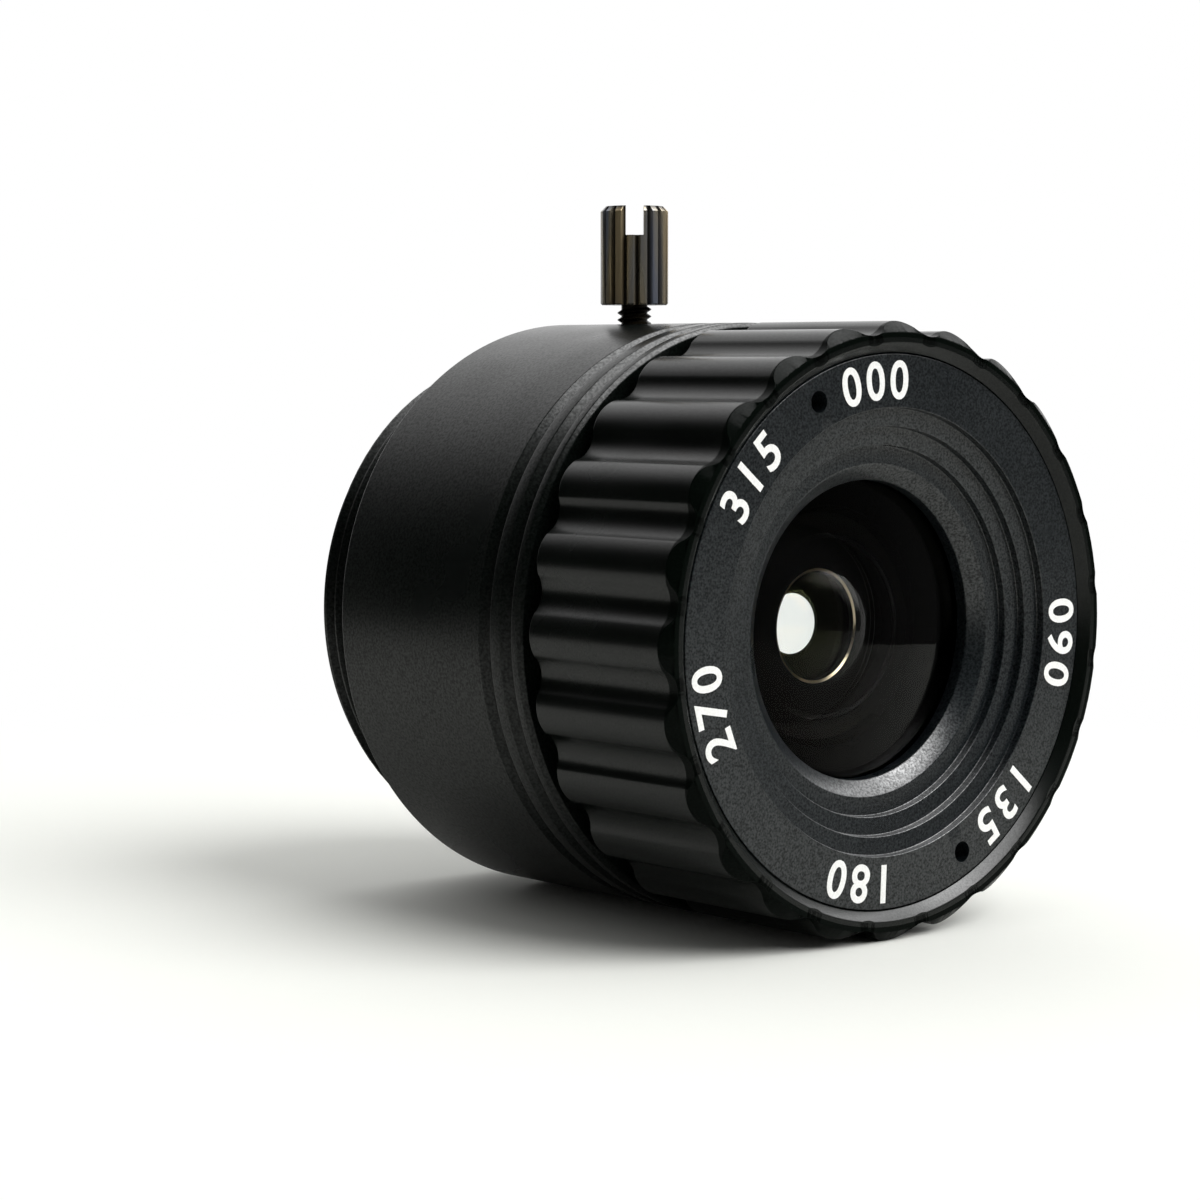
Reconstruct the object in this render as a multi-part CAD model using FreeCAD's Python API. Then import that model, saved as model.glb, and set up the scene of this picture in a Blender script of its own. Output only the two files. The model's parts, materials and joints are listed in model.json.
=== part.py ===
import FreeCAD, Part
import math
import os

# A small fixed-focal camera lens with a screw mount at its rear.
# +Y runs back along the optical axis and +Z up through the lock screw. The origin is the centre
# of the mount's seat, so the thread lies behind it and the barrel in front of it. All sizes are in mm.

# clearances: a screw fit that runs, a fit that seats, and a gap between faces that all but touch
RUNNING_CLEARANCE = 0.08
SEAT_CLEARANCE = 0.04
CONTACT_CLEARANCE = 0.02

# main barrel: a grooved nose and a plain sleeve
BARREL_RADIUS = 14.4
BARREL_LENGTH = 14.1
BARREL_WALL = 2.6
BARREL_REAR_CHAMFER = 0.25
NOSE_CHAMFER = 0.2
GROOVE_DEPTH = 0.41
GROOVE_OFFSET = 0.62
GROOVE_PITCH = 1.56
GROOVE_COUNT = 2

# mount thread and seat
THREAD_RADIUS = 12.7
THREAD_LENGTH = 4.35
THREAD_LEAD_IN = 0.2
THREAD_WALL = 2.4
REAR_WALL = 1.6

# focus ring
FOCUS_GAP = 0.6
FOCUS_RING_LENGTH = 9.46
FOCUS_RING_WALL = 2.16
FLUTE_COUNT = 24
FLUTE_ANGLE = 7.0
FLUTE_START = 8.0
FLUTE_DEPTH = 0.6
RIDGE_EDGE_DROP = 0.25
LIP_CHAMFER = 0.51
LIP_BEVEL = 0.45
LIP_WIDTH = 0.5
RING_REAR_BREAK = 0.1

# name ring
FACE_RECESS = 0.41
FACE_THICKNESS = 1.65
DIAL_WIDTH = 2.49
STEP_WIDTH = 0.875
STEP_WALL = 0.3
STEP_FALL = 0.21
STEP_COUNT = 3
APERTURE_BEVEL_WIDTH = 0.755
APERTURE_BEVEL_FALL = 0.58
SKIRT_SETBACK = 1.5
SKIRT_LENGTH = 0.8
SPANNER_HOLE_RADIUS = 0.5
SPANNER_HOLE_DEPTH = 1.0
SPANNER_HOLE_INSET = 1.15
SPANNER_HOLE_ANGLE = 155.8

# front element and its seal
GLASS_SETBACK = 0.15
GLASS_OVERLAP = 1.47
FRONT_EDGE = 2.95
FRONT_BULGE = 0.91
FRONT_HOLLOW = 2.9
FRONT_HOLLOW_FLAT = 3.0
SEAL_WIDTH = 0.76
SEAL_GROOVE_DEPTH = 0.45
FLANGE_GAP = 0.4

# lens cell
CELL_WALL = 2.76
CELL_REAR_GAP = 1.1
CELL_REAR_RIM = 0.63
CELL_THREAD_END = 1.0
SKIRT_POCKET_EXTRA = 0.2
FRONT_LEDGE_WIDTH = 3.3
FRONT_LEDGE_THICKNESS = 0.6

# damping ring
DAMPER_WIDTH = 0.8
DAMPER_THICKNESS = 0.76
DAMPER_OFFSET = 1.35
DAMPER_SIDE_CLEARANCE = 0.05

# inner glass: thickness at the edge, and how far each face bulges or is hollowed
ELEMENT_FLAT = 1.6
SECOND_EDGE = 2.0
SECOND_FRONT_HOLLOW = 0.1
SECOND_REAR_HOLLOW = 1.0
THIRD_EDGE = 1.4
THIRD_FRONT_BULGE = 0.85
THIRD_REAR_HOLLOW = 0.15
FOURTH_EDGE = 2.4
FOURTH_FRONT_BULGE = 1.35
FOURTH_REAR_BULGE = 0.5
FLINT_EDGE = 2.75
FLINT_FRONT_BULGE = 0.6
CEMENTED_BULGE = 1.8
CEMENT_GAP = 0.02
CROWN_EDGE = 1.2
CROWN_REAR_BULGE = 0.4
REAR_EDGE = 1.9
REAR_BULGE = 0.1

# rings between the glass, and the retainer that clamps the stack
SPACER_CLEARANCE = 0.1
FRONT_SPACER_LENGTH = 0.8
STOP_THICKNESS = 0.3
STOP_RADIUS = 2.15
STOP_SPACER_LENGTH = 1.8
MIDDLE_SPACER_LENGTH = 1.9
REAR_SPACER_LENGTH = 1.95
RETAINER_LENGTH = 1.4
RETAINER_CLEARANCE = 0.2
RETAINER_FLARE = 0.6
RETAINER_SLOT_WIDTH = 1.0
RETAINER_SLOT_DEPTH = 0.7

# lock screw and its pad
SCREW_RADIUS = 0.85
SCREW_CLEARANCE = 0.03
SCREW_SETBACK = 5.5
SCREW_HEAD_RADIUS = 1.7
SCREW_HEAD_LENGTH = 4.93
SCREW_HEAD_GAP = 0.95
SCREW_HEAD_CHAMFER = 0.26
SCREW_FOOT_CHAMFER = 0.08
SCREW_SLOT_WIDTH = 0.9
SCREW_SLOT_DEPTH = 1.47
SCREW_SLOT_ANGLE = 49.6
KNURL_COUNT = 16
KNURL_DEPTH = 0.22
KNURL_CREST_ANGLE = 11.0
KNURL_ROOT_ANGLE = 3.0
KNURL_START = -2.4
PAD_CLEARANCE = 0.25
PAD_LENGTH = 0.5
PAD_GAP = 0.16

# radii that follow from the sizes above, from the outside in
HELICOID_RADIUS = BARREL_RADIUS - BARREL_WALL
CELL_THREAD_RADIUS = HELICOID_RADIUS - RUNNING_CLEARANCE
RING_BORE_RADIUS = BARREL_RADIUS - FOCUS_RING_WALL
CELL_FRONT_RADIUS = RING_BORE_RADIUS - SEAT_CLEARANCE
LIP_RADIUS = BARREL_RADIUS - LIP_CHAMFER
RECESS_RADIUS = LIP_RADIUS - LIP_WIDTH - LIP_BEVEL
FACE_RADIUS = RECESS_RADIUS - SEAT_CLEARANCE
FACE_INNER_RADIUS = FACE_RADIUS - DIAL_WIDTH
SKIRT_RADIUS = FACE_RADIUS - SKIRT_SETBACK
APERTURE_RADIUS = FACE_INNER_RADIUS - STEP_COUNT * STEP_WIDTH - APERTURE_BEVEL_WIDTH
FRONT_ELEMENT_RADIUS = APERTURE_RADIUS + GLASS_OVERLAP
REAR_OPENING_RADIUS = THREAD_RADIUS - THREAD_WALL
CELL_REAR_RADIUS = REAR_OPENING_RADIUS - CELL_REAR_GAP
STACK_BORE_RADIUS = CELL_REAR_RADIUS - CELL_WALL
ELEMENT_RADIUS = STACK_BORE_RADIUS - SEAT_CLEARANCE
ELEMENT_OPENING_RADIUS = ELEMENT_RADIUS - ELEMENT_FLAT
SPACER_BORE_RADIUS = ELEMENT_OPENING_RADIUS + SPACER_CLEARANCE
RETAINER_BORE_RADIUS = ELEMENT_OPENING_RADIUS + RETAINER_CLEARANCE
DAMPER_BORE_RADIUS = CELL_THREAD_RADIUS - DAMPER_THICKNESS

# places along the axis, from the seat forwards and then back through the glass
NOSE_Y = -BARREL_LENGTH
RING_REAR_Y = NOSE_Y - FOCUS_GAP
LIP_Y = RING_REAR_Y - FOCUS_RING_LENGTH
FACE_Y = LIP_Y + FACE_RECESS
CELL_FRONT_Y = FACE_Y + FACE_THICKNESS
APERTURE_Y = FACE_Y + STEP_COUNT * (STEP_WALL + STEP_FALL) - STEP_FALL + APERTURE_BEVEL_FALL
GLASS_RIM_Y = APERTURE_Y + GLASS_SETBACK + FRONT_BULGE
FLANGE_Y = GLASS_RIM_Y - FLANGE_GAP
SKIRT_END_Y = FLANGE_Y + SKIRT_LENGTH
LEDGE_Y = GLASS_RIM_Y + FRONT_EDGE
STACK_Y = LEDGE_Y + FRONT_LEDGE_THICKNESS
DAMPER_Y = NOSE_Y + DAMPER_OFFSET
CELL_SHOULDER_Y = -REAR_WALL - CELL_THREAD_END


def turned(corners):
    """A solid of revolution about the optical axis, from (radius, y) corners."""
    points = [FreeCAD.Vector(radius, y, 0) for radius, y in corners]
    outline = Part.makePolygon(points + points[:1])
    return Part.Face(outline).revolve(FreeCAD.Vector(0, 0, 0), FreeCAD.Vector(0, 1, 0), 360)


def around(radius, degrees, y):
    """A point on a circle about the optical axis, clockwise from the top as seen from the front."""
    angle = math.radians(degrees)
    return FreeCAD.Vector(radius * math.sin(angle), y, radius * math.cos(angle))


def disc(radius, y, length):
    """A round disc square to the optical axis."""
    return Part.makeCylinder(radius, length, FreeCAD.Vector(0, y, 0), FreeCAD.Vector(0, 1, 0))


def washer(front_y, length, bore_radius, outer_radius):
    """A plain ring of square section, for spacers, seals and the aperture stop."""
    rear_y = front_y + length
    corners = [(bore_radius, front_y), (outer_radius, front_y)]
    return turned(corners + [(outer_radius, rear_y), (bore_radius, rear_y)])


def main_barrel():
    """The turned barrel: grooved nose, plain sleeve, seat and threaded boss in one piece."""
    sleeve_end = -BARREL_REAR_CHAMFER
    corners = [(HELICOID_RADIUS, NOSE_Y), (BARREL_RADIUS - NOSE_CHAMFER, NOSE_Y)]
    corners.append((BARREL_RADIUS, NOSE_Y + NOSE_CHAMFER))
    for index in range(GROOVE_COUNT):
        start = NOSE_Y + GROOVE_OFFSET + index * GROOVE_PITCH
        corners.append((BARREL_RADIUS, start))
        corners.append((BARREL_RADIUS - GROOVE_DEPTH, start + GROOVE_DEPTH))
        corners.append((BARREL_RADIUS, start + 2 * GROOVE_DEPTH))
    corners.append((BARREL_RADIUS, sleeve_end))
    corners.append((BARREL_RADIUS - BARREL_REAR_CHAMFER, 0))
    corners.append((THREAD_RADIUS, 0))
    corners.append((THREAD_RADIUS, THREAD_LENGTH - THREAD_LEAD_IN))
    corners.append((THREAD_RADIUS - THREAD_LEAD_IN, THREAD_LENGTH))
    corners.append((REAR_OPENING_RADIUS, THREAD_LENGTH))
    corners.append((REAR_OPENING_RADIUS, -REAR_WALL))
    corners.append((HELICOID_RADIUS, -REAR_WALL))
    hole_foot = FreeCAD.Vector(0, -SCREW_SETBACK, HELICOID_RADIUS / 2)
    hole_radius = SCREW_RADIUS + SCREW_CLEARANCE
    hole = Part.makeCylinder(hole_radius, BARREL_RADIUS, hole_foot, FreeCAD.Vector(0, 0, 1))
    return turned(corners).cut(hole)


def fluted_outline(y):
    """One closed outline of crowned ridges and round-bottomed flutes."""
    pitch = 360 / FLUTE_COUNT
    edge_radius = BARREL_RADIUS - RIDGE_EDGE_DROP
    edges = []
    for index in range(FLUTE_COUNT):
        flute = FLUTE_START + index * pitch
        low = around(edge_radius, flute - FLUTE_ANGLE / 2, y)
        bottom = around(BARREL_RADIUS - FLUTE_DEPTH, flute, y)
        high = around(edge_radius, flute + FLUTE_ANGLE / 2, y)
        crown = around(BARREL_RADIUS, flute + pitch / 2, y)
        following = around(edge_radius, flute + pitch - FLUTE_ANGLE / 2, y)
        edges.append(Part.Arc(low, bottom, high).toShape())
        edges.append(Part.Arc(high, crown, following).toShape())
    return Part.Wire(edges)


def focus_ring():
    """The fluted grip ring, with a chamfered lip that stands in front of the name ring."""
    blank_radius = BARREL_RADIUS + LIP_CHAMFER
    break_start = RING_REAR_Y - RING_REAR_BREAK - LIP_CHAMFER
    corners = [(RECESS_RADIUS + LIP_BEVEL, LIP_Y), (LIP_RADIUS, LIP_Y)]
    corners.append((blank_radius, LIP_Y + 2 * LIP_CHAMFER))
    corners.append((blank_radius, break_start))
    corners.append((BARREL_RADIUS - RING_REAR_BREAK, RING_REAR_Y))
    corners.append((RING_BORE_RADIUS, RING_REAR_Y))
    corners.append((RING_BORE_RADIUS, CELL_FRONT_Y))
    corners.append((RECESS_RADIUS, CELL_FRONT_Y))
    corners.append((RECESS_RADIUS, LIP_Y + LIP_BEVEL))
    travel = FreeCAD.Vector(0, FOCUS_RING_LENGTH, 0)
    fluted = Part.Face(fluted_outline(LIP_Y)).extrude(travel)
    return fluted.common(turned(corners))


def name_ring():
    """The front retaining ring: flat dial face, stepped cone, satin bevel and threaded skirt."""
    groove_y = FLANGE_Y - SEAL_GROOVE_DEPTH
    groove_radius = FRONT_ELEMENT_RADIUS - SEAL_WIDTH - SEAT_CLEARANCE
    skirt_bore = FRONT_ELEMENT_RADIUS + SEAT_CLEARANCE
    corners = [(SKIRT_RADIUS, SKIRT_END_Y), (SKIRT_RADIUS, CELL_FRONT_Y)]
    corners.append((FACE_RADIUS, CELL_FRONT_Y))
    corners.append((FACE_RADIUS, FACE_Y))
    radius = FACE_INNER_RADIUS
    y = FACE_Y
    for index in range(STEP_COUNT):
        corners.append((radius, y))
        corners.append((radius, y + STEP_WALL))
        radius = radius - STEP_WIDTH
        y = y + STEP_WALL + STEP_FALL
    corners.append((radius, y - STEP_FALL))
    corners.append((APERTURE_RADIUS, APERTURE_Y))
    corners.append((APERTURE_RADIUS, FLANGE_Y))
    corners.append((groove_radius, FLANGE_Y))
    corners.append((groove_radius, groove_y))
    corners.append((skirt_bore, groove_y))
    corners.append((skirt_bore, SKIRT_END_Y))
    ring = turned(corners)
    for degrees in (SPANNER_HOLE_ANGLE, SPANNER_HOLE_ANGLE + 180):
        mouth = around(FACE_RADIUS - SPANNER_HOLE_INSET, degrees, FACE_Y - SPANNER_HOLE_DEPTH)
        length = 2 * SPANNER_HOLE_DEPTH
        ring = ring.cut(Part.makeCylinder(SPANNER_HOLE_RADIUS, length, mouth, FreeCAD.Vector(0, 1, 0)))
    return ring


def lens_cell(rear_y):
    """The moving inner tube that carries all the glass and screws in the barrel's helicoid."""
    groove_half = DAMPER_WIDTH / 2 + DAMPER_SIDE_CLEARANCE
    groove_radius = DAMPER_BORE_RADIUS - SEAT_CLEARANCE
    pocket_radius = SKIRT_RADIUS + SEAT_CLEARANCE
    pocket_y = SKIRT_END_Y + SKIRT_POCKET_EXTRA
    element_bore = FRONT_ELEMENT_RADIUS + SEAT_CLEARANCE
    ledge_radius = ELEMENT_RADIUS - FRONT_LEDGE_WIDTH
    corners = [(pocket_radius, CELL_FRONT_Y), (CELL_FRONT_RADIUS, CELL_FRONT_Y)]
    corners.append((CELL_FRONT_RADIUS, RING_REAR_Y))
    corners.append((CELL_THREAD_RADIUS, RING_REAR_Y))
    corners.append((CELL_THREAD_RADIUS, DAMPER_Y - groove_half))
    corners.append((groove_radius, DAMPER_Y - groove_half))
    corners.append((groove_radius, DAMPER_Y + groove_half))
    corners.append((CELL_THREAD_RADIUS, DAMPER_Y + groove_half))
    corners.append((CELL_THREAD_RADIUS, CELL_SHOULDER_Y))
    corners.append((CELL_REAR_RADIUS, CELL_SHOULDER_Y))
    corners.append((CELL_REAR_RADIUS, rear_y))
    corners.append((STACK_BORE_RADIUS, rear_y))
    corners.append((STACK_BORE_RADIUS, STACK_Y))
    corners.append((ledge_radius, STACK_Y))
    corners.append((ledge_radius, LEDGE_Y))
    corners.append((element_bore, LEDGE_Y))
    corners.append((element_bore, pocket_y))
    corners.append((pocket_radius, pocket_y))
    return turned(corners)


def ball_radius(opening, bulge):
    """The radius of the ball that a glass face of that opening and bulge is part of."""
    return (opening ** 2 + bulge ** 2) / (2 * abs(bulge))


def ground(blank, rim_y, outward, opening, bulge):
    """Gives a blank's end a ball face, standing out where the bulge is positive and hollow where not."""
    radius = ball_radius(opening, bulge)
    height = abs(bulge)
    if bulge < 0:
        centre = FreeCAD.Vector(0, rim_y + outward * (radius - height), 0)
        return blank.cut(Part.makeSphere(radius, centre))
    ball = Part.makeSphere(radius, FreeCAD.Vector(0, rim_y - outward * (radius - height), 0))
    slab = disc(2 * opening, min(rim_y, rim_y + 2 * outward * height), 2 * height)
    return blank.fuse(ball.common(slab)).removeSplitter()


def glass(front_rim_y, edge, rim_radius, front, rear):
    """A round lens element: a blank with a ball face ground on each end, as (opening, bulge)."""
    blank = disc(rim_radius, front_rim_y, edge)
    blank = ground(blank, front_rim_y, -1, *front)
    return ground(blank, front_rim_y + edge, 1, *rear)


def front_element():
    """The large front meniscus, seated on the cell's ledge and held by the name ring."""
    front = (FRONT_ELEMENT_RADIUS, FRONT_BULGE)
    rear = (FRONT_ELEMENT_RADIUS - FRONT_HOLLOW_FLAT, -FRONT_HOLLOW)
    return glass(GLASS_RIM_Y, FRONT_EDGE, FRONT_ELEMENT_RADIUS, front, rear)


def front_seal():
    """The rubber washer between the name ring's groove and the front glass."""
    front_y = FLANGE_Y - SEAL_GROOVE_DEPTH + CONTACT_CLEARANCE
    bore_radius = FRONT_ELEMENT_RADIUS - SEAL_WIDTH
    radius = ball_radius(FRONT_ELEMENT_RADIUS, FRONT_BULGE)
    glass_y = GLASS_RIM_Y - FRONT_BULGE + radius - math.sqrt(radius ** 2 - bore_radius ** 2)
    length = glass_y - CONTACT_CLEARANCE - front_y
    return washer(front_y, length, bore_radius, FRONT_ELEMENT_RADIUS)


def damping_ring():
    """The ring in the cell's groove that drags on the barrel and keeps the focus from creeping."""
    front_y = DAMPER_Y - DAMPER_WIDTH / 2
    return washer(front_y, DAMPER_WIDTH, DAMPER_BORE_RADIUS, CELL_THREAD_RADIUS)


def element(front_rim_y, edge, front_bulge, rear_bulge):
    """One of the inner lenses, with a flat rim round each ball face for the rings that hold it."""
    opening = ELEMENT_OPENING_RADIUS
    return glass(front_rim_y, edge, ELEMENT_RADIUS, (opening, front_bulge), (opening, rear_bulge))


def doublet(front_rim_y):
    """The cemented pair: a flint hollowed all over its rear, and the crown that fills the hollow."""
    opening = ELEMENT_OPENING_RADIUS
    inward = (ELEMENT_RADIUS, -CEMENTED_BULGE)
    flint = glass(front_rim_y, FLINT_EDGE, ELEMENT_RADIUS, (opening, FLINT_FRONT_BULGE), inward)
    crown_y = front_rim_y + FLINT_EDGE + CEMENT_GAP
    outward = (ELEMENT_RADIUS, CEMENTED_BULGE)
    crown = glass(crown_y, CROWN_EDGE, ELEMENT_RADIUS, outward, (opening, CROWN_REAR_BULGE))
    return flint, crown


def spacer(front_y, length):
    """A ring that holds two lenses apart."""
    return washer(front_y, length, SPACER_BORE_RADIUS, ELEMENT_RADIUS)


def rear_retainer(front_y):
    """The threaded ring that clamps the stack, flared behind and slotted for a spanner."""
    rear_y = front_y + RETAINER_LENGTH
    bore_radius = RETAINER_BORE_RADIUS
    corners = [(bore_radius, front_y), (ELEMENT_RADIUS, front_y), (ELEMENT_RADIUS, rear_y)]
    corners.append((bore_radius + RETAINER_FLARE, rear_y))
    slot_corner = FreeCAD.Vector(-ELEMENT_RADIUS, rear_y - RETAINER_SLOT_DEPTH, -RETAINER_SLOT_WIDTH / 2)
    slot = Part.makeBox(2 * ELEMENT_RADIUS, 2 * RETAINER_SLOT_DEPTH, RETAINER_SLOT_WIDTH, slot_corner)
    return turned(corners).cut(slot)


def inner_stack():
    """The pieces dropped into the cell's bore from behind, front to back, and where they end."""
    pieces = {}
    y = STACK_Y
    pieces["second_element"] = element(y, SECOND_EDGE, -SECOND_FRONT_HOLLOW, -SECOND_REAR_HOLLOW)
    y = y + SECOND_EDGE
    pieces["front_spacer"] = spacer(y, FRONT_SPACER_LENGTH)
    y = y + FRONT_SPACER_LENGTH
    pieces["third_element"] = element(y, THIRD_EDGE, THIRD_FRONT_BULGE, -THIRD_REAR_HOLLOW)
    y = y + THIRD_EDGE
    pieces["aperture_stop"] = washer(y, STOP_THICKNESS, STOP_RADIUS, ELEMENT_RADIUS)
    y = y + STOP_THICKNESS
    pieces["stop_spacer"] = spacer(y, STOP_SPACER_LENGTH)
    y = y + STOP_SPACER_LENGTH
    pieces["fourth_element"] = element(y, FOURTH_EDGE, FOURTH_FRONT_BULGE, FOURTH_REAR_BULGE)
    y = y + FOURTH_EDGE
    pieces["middle_spacer"] = spacer(y, MIDDLE_SPACER_LENGTH)
    y = y + MIDDLE_SPACER_LENGTH
    pieces["doublet_flint"], pieces["doublet_crown"] = doublet(y)
    y = y + FLINT_EDGE + CEMENT_GAP + CROWN_EDGE
    pieces["rear_spacer"] = spacer(y, REAR_SPACER_LENGTH)
    y = y + REAR_SPACER_LENGTH
    pieces["rear_element"] = element(y, REAR_EDGE, REAR_BULGE, REAR_BULGE)
    y = y + REAR_EDGE
    pieces["rear_retainer"] = rear_retainer(y)
    return pieces, y + RETAINER_LENGTH


def lock_pad():
    """The soft pad under the lock screw, a small gap above the lens cell."""
    foot = FreeCAD.Vector(0, -SCREW_SETBACK, CELL_THREAD_RADIUS + PAD_GAP)
    radius = SCREW_RADIUS - PAD_CLEARANCE
    return Part.makeCylinder(radius, PAD_LENGTH, foot, FreeCAD.Vector(0, 0, 1))


def knurled_outline(z):
    """The straight-knurled section of the screw head, flat crests and narrow roots."""
    pitch = 360 / KNURL_COUNT
    root_radius = SCREW_HEAD_RADIUS - KNURL_DEPTH
    points = []
    for index in range(KNURL_COUNT):
        crest = KNURL_START + index * pitch
        root = crest + pitch / 2
        marks = [(SCREW_HEAD_RADIUS, crest - KNURL_CREST_ANGLE / 2)]
        marks.append((SCREW_HEAD_RADIUS, crest + KNURL_CREST_ANGLE / 2))
        marks.append((root_radius, root - KNURL_ROOT_ANGLE / 2))
        marks.append((root_radius, root + KNURL_ROOT_ANGLE / 2))
        for radius, degrees in marks:
            angle = math.radians(degrees)
            points.append(FreeCAD.Vector(radius * math.cos(angle), radius * math.sin(angle), z))
    return Part.makePolygon(points + points[:1])


def lock_screw():
    """The thumb screw: knurled head with a screwdriver slot, and a plain shank for the thread."""
    up = FreeCAD.Vector(0, 0, 1)
    shank_z = CELL_THREAD_RADIUS + PAD_GAP + PAD_LENGTH + CONTACT_CLEARANCE
    head_z = BARREL_RADIUS + SCREW_HEAD_GAP
    top_z = head_z + SCREW_HEAD_LENGTH
    head = Part.Face(knurled_outline(head_z)).extrude(FreeCAD.Vector(0, 0, SCREW_HEAD_LENGTH))
    foot = SCREW_FOOT_CHAMFER
    top = SCREW_HEAD_CHAMFER
    straight = SCREW_HEAD_LENGTH - foot - top
    blank = Part.makeCone(SCREW_HEAD_RADIUS - foot, SCREW_HEAD_RADIUS, foot, FreeCAD.Vector(0, 0, head_z), up)
    middle = Part.makeCylinder(SCREW_HEAD_RADIUS, straight, FreeCAD.Vector(0, 0, head_z + foot), up)
    crown_z = head_z + foot + straight
    crown = Part.makeCone(SCREW_HEAD_RADIUS, SCREW_HEAD_RADIUS - top, top, FreeCAD.Vector(0, 0, crown_z), up)
    head = head.common(blank.fuse([middle, crown]).removeSplitter())
    slot_corner = FreeCAD.Vector(-2 * SCREW_HEAD_RADIUS, -SCREW_SLOT_WIDTH / 2, top_z - SCREW_SLOT_DEPTH)
    slot = Part.makeBox(4 * SCREW_HEAD_RADIUS, SCREW_SLOT_WIDTH, 2 * SCREW_SLOT_DEPTH, slot_corner)
    slot.rotate(FreeCAD.Vector(0, 0, 0), up, SCREW_SLOT_ANGLE)
    shank = Part.makeCylinder(SCREW_RADIUS, head_z - shank_z, FreeCAD.Vector(0, 0, shank_z), up)
    screw = head.cut(slot).fuse(shank).removeSplitter()
    screw.translate(FreeCAD.Vector(0, -SCREW_SETBACK, 0))
    return screw


def all_parts():
    """Every separate piece, by its node's name."""
    stack, stack_end_y = inner_stack()
    parts = {"main_barrel": main_barrel()}
    parts["focus_ring"] = focus_ring()
    parts["lens_cell"] = lens_cell(stack_end_y + CELL_REAR_RIM)
    parts["name_ring"] = name_ring()
    parts["front_element"] = front_element()
    parts["front_seal"] = front_seal()
    parts["damping_ring"] = damping_ring()
    parts.update(stack)
    parts["lock_pad"] = lock_pad()
    parts["lock_screw"] = lock_screw()
    return parts


os.makedirs("parts", exist_ok=True)
for node, shape in all_parts().items():
    shape.exportStep("parts/" + node + ".step")
    print(node, "solids", len(shape.Solids), "volume", round(shape.Volume, 3), "valid", shape.isValid())
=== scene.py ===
import json
import math
import bpy
from mathutils import Matrix, Vector


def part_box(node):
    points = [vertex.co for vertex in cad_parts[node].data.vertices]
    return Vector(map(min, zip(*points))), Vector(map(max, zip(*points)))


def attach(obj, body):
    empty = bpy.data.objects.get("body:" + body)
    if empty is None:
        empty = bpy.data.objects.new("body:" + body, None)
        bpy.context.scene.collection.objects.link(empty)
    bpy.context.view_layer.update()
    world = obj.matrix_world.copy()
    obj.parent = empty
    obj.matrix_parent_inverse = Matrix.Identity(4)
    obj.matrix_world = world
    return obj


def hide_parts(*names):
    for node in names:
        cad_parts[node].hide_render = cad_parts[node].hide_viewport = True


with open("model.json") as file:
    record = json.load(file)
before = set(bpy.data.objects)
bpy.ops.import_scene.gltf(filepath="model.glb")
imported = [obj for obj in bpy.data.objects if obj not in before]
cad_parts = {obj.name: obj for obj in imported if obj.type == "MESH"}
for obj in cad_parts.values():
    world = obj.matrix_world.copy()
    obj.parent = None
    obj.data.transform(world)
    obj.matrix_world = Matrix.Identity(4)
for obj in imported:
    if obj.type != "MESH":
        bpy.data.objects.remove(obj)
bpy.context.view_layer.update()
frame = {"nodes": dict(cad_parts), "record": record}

# The camera: a long lens in front of the object, a little above it and off to one side, so that the
# dial, the fluted ring and the barrel's flank all show. The lens lies on its barrel, lock screw up.
MM = 0.001
CAMERA_PLACE = (-103.2625, -124.4716, 12.6078)
CAMERA_AIM = (0.6452244, 0.7601103, -0.0769273)
FOCAL_LENGTH = 93.42

bpy.ops.object.select_all(action="DESELECT")
bpy.ops.object.camera_add(location=Vector(CAMERA_PLACE) * MM)
camera = bpy.context.object
camera.rotation_euler = Vector(CAMERA_AIM).to_track_quat("-Z", "Y").to_euler()
camera.data.lens = FOCAL_LENGTH
camera.data.sensor_width = 36
camera.data.clip_start = 10 * MM
bpy.context.scene.camera = camera
bpy.context.scene.view_settings.view_transform = "Standard"

# The studio round it: white behind the lens, with broad light from the pale wall and ceiling there and a
# soft lamp high in front, which throw the shadow. The gloss shows a dim room with a few glows, and no lamp.
GLOWS = (  # towards, the cosines where it starts and is full, and how strong
    ((0.55, 0.65, 0.52), 0.46, 0.92, 1.2),
    ((0.64, -0.76, 0.05), 0.72, 0.98, 0.12),
    ((0.66, -0.27, 0.70), 0.80, 0.97, 4.0),
    ((0.14, -0.32, 0.93), 0.84, 0.97, 8.2),
)
ROOM_LEVEL = 0.012
FILL_FROM = (0.43, 0.59, 0.68)
FILL_LEVEL = 1.33
FILL_FOCUS = 2.21
BACKDROP_LIMIT = 0.2
LAMP_PLACE = (230, -712, 666)
LAMP_AIM = (0, -12, -14)
LAMP_WIDTH = 850
LAMP_POWER = 10.4


def add_node(tree, kind, **settings):
    """Adds a shader node, sets its properties and returns it."""
    node = tree.nodes.new(kind)
    for name, value in settings.items():
        setattr(node, name, value)
    return node


def math_node(tree, operation, first, second):
    """A Math node on two sockets or numbers; gives its output socket."""
    node = add_node(tree, "ShaderNodeMath", operation=operation)
    for place, value in enumerate((first, second)):
        if isinstance(value, (int, float)):
            node.inputs[place].default_value = value
        else:
            tree.links.new(value, node.inputs[place])
    return node.outputs[0]


def range_node(tree, value, given, wanted, interpolation="LINEAR"):
    """A Map Range node from one pair of limits to another; gives its output socket."""
    node = add_node(tree, "ShaderNodeMapRange", interpolation_type=interpolation)
    tree.links.new(value, node.inputs[0])
    for place, limit in enumerate((*given, *wanted), start=1):
        node.inputs[place].default_value = limit
    return node.outputs[0]


def cosine_node(tree, direction, toward):
    """The cosine between the direction in a socket and a fixed one."""
    node = add_node(tree, "ShaderNodeVectorMath", operation="DOT_PRODUCT")
    tree.links.new(direction, node.inputs[0])
    node.inputs[1].default_value = Vector(toward).normalized()
    return node.outputs["Value"]


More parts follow.
